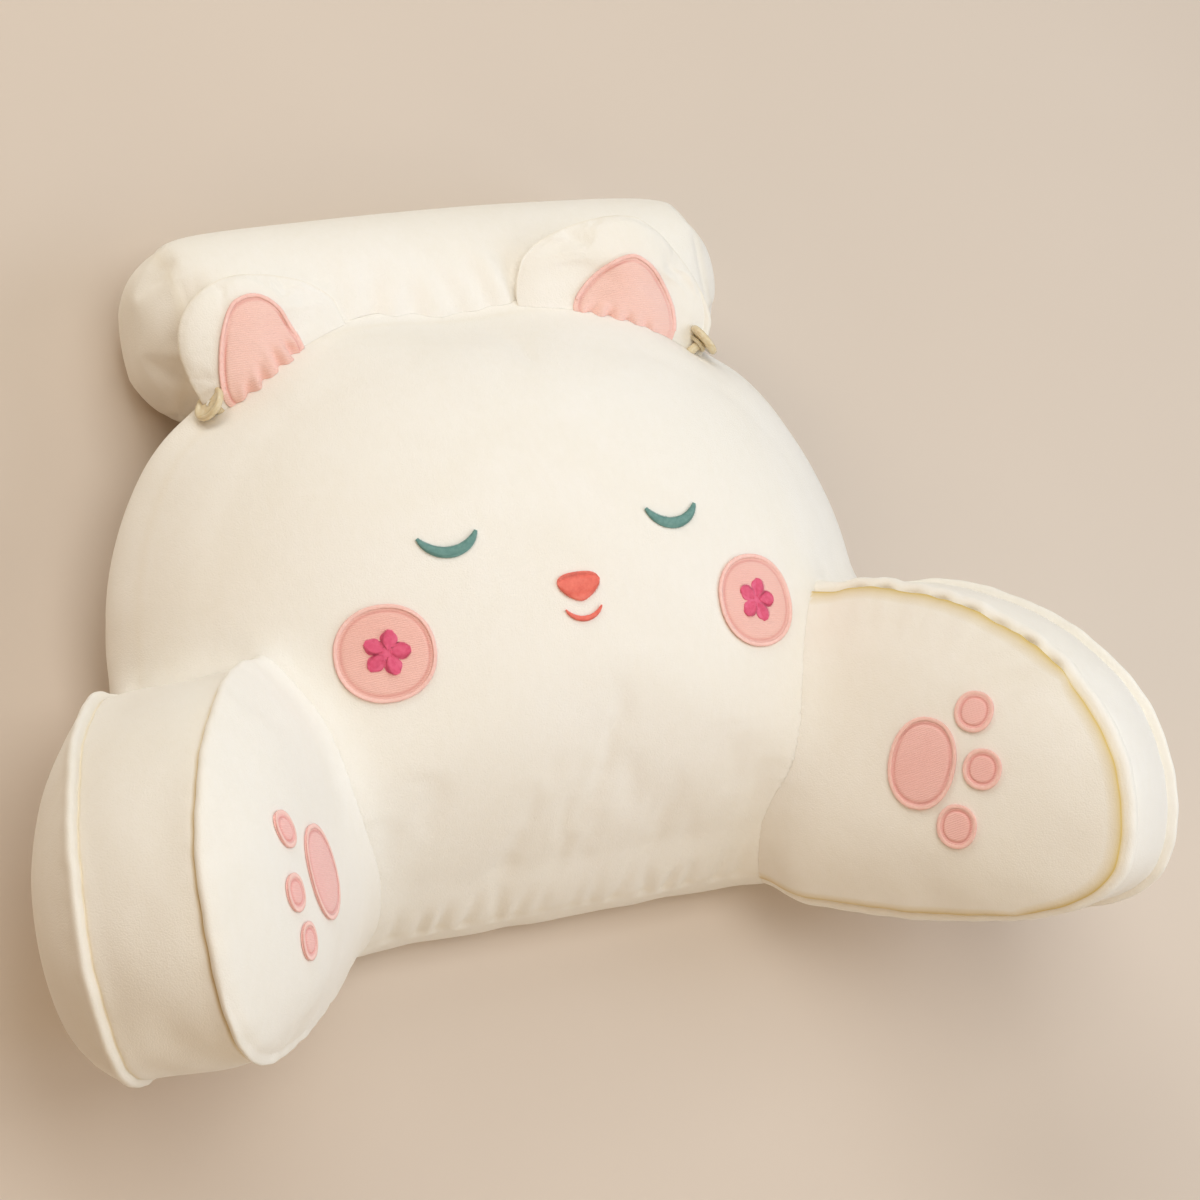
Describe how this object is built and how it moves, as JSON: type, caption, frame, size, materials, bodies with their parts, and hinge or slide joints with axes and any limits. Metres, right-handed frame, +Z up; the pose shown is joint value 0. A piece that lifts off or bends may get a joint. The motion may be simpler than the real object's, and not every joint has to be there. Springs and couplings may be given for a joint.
{
  "type": "lumbar cushion",
  "caption": "Plush reading cushion with a domed back, boxed arms, rounded ears and a head bolster held on by buttons and loops; supports a sitter's back and arms.",
  "frame": {"origin": "lowest middle of the part's box, on the ground it lies on", "axes": "+X across the cushion to the viewer's right, +Y to the head end, +Z up, out of the face"},
  "size_m": [0.673, 0.5192, 0.2414],
  "materials": {
    "plush": "short ivory pile",
    "pink_patch": "short pink pile with a satin-stitched edge",
    "rose_stitch": "rose satin stitch",
    "coral_stitch": "coral satin stitch",
    "teal_stitch": "teal satin stitch",
    "resin": "glossy amber resin",
    "elastic": "thin covered elastic"
  },
  "bodies": {
    "root": {"back_cushion": "plush", "head_bolster": "plush", "arm_left": "plush", "arm_right": "plush", "ear_left": "plush", "ear_right": "plush", "ear_lining_left": "pink_patch", "paw_pad_left": "pink_patch", "paw_toe_1_left": "pink_patch", "paw_toe_2_left": "pink_patch", "paw_toe_3_left": "pink_patch", "cheek_left": "pink_patch", "cheek_flower_left": "rose_stitch", "eye_left": "teal_stitch", "button_left": "resin", "loop_left": "elastic", "ear_lining_right": "pink_patch", "paw_pad_right": "pink_patch", "paw_toe_1_right": "pink_patch", "paw_toe_2_right": "pink_patch", "paw_toe_3_right": "pink_patch", "cheek_right": "pink_patch", "cheek_flower_right": "rose_stitch", "eye_right": "teal_stitch", "button_right": "resin", "loop_right": "elastic", "nose": "coral_stitch", "mouth": "coral_stitch"}
  },
  "joints": []
}
